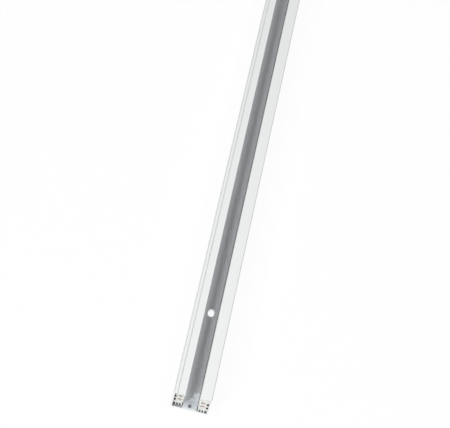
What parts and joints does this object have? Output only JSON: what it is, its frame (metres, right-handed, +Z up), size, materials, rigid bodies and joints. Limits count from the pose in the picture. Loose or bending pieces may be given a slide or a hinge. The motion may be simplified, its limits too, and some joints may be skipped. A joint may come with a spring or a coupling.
{
  "type": "three-phase lighting track",
  "caption": "Straight length of surface-mounted lighting track: a white slotted aluminium channel with plastic insulator strips that carry round copper conductors, open at both ends.",
  "frame": {"origin": "on the flat back face, at the middle of the width and of the length", "axes": "+Z up out of the slot, +Y along the track, +X to the right seen from the end at -Y, with the polarity groove on the flange at -X"},
  "size_m": [0.036, 1, 0.033],
  "materials": {
    "powder_coated_aluminium": "white powder coat, satin",
    "insulator_plastic": "matte",
    "copper": "drawn copper, satin"
  },
  "bodies": {
    "root": {"track_channel": "powder_coated_aluminium", "left_insulator": "insulator_plastic", "right_insulator": "insulator_plastic", "upper_left_conductor": "copper", "lower_left_conductor": "copper", "upper_right_conductor": "copper", "lower_right_conductor": "copper"}
  },
  "joints": []
}
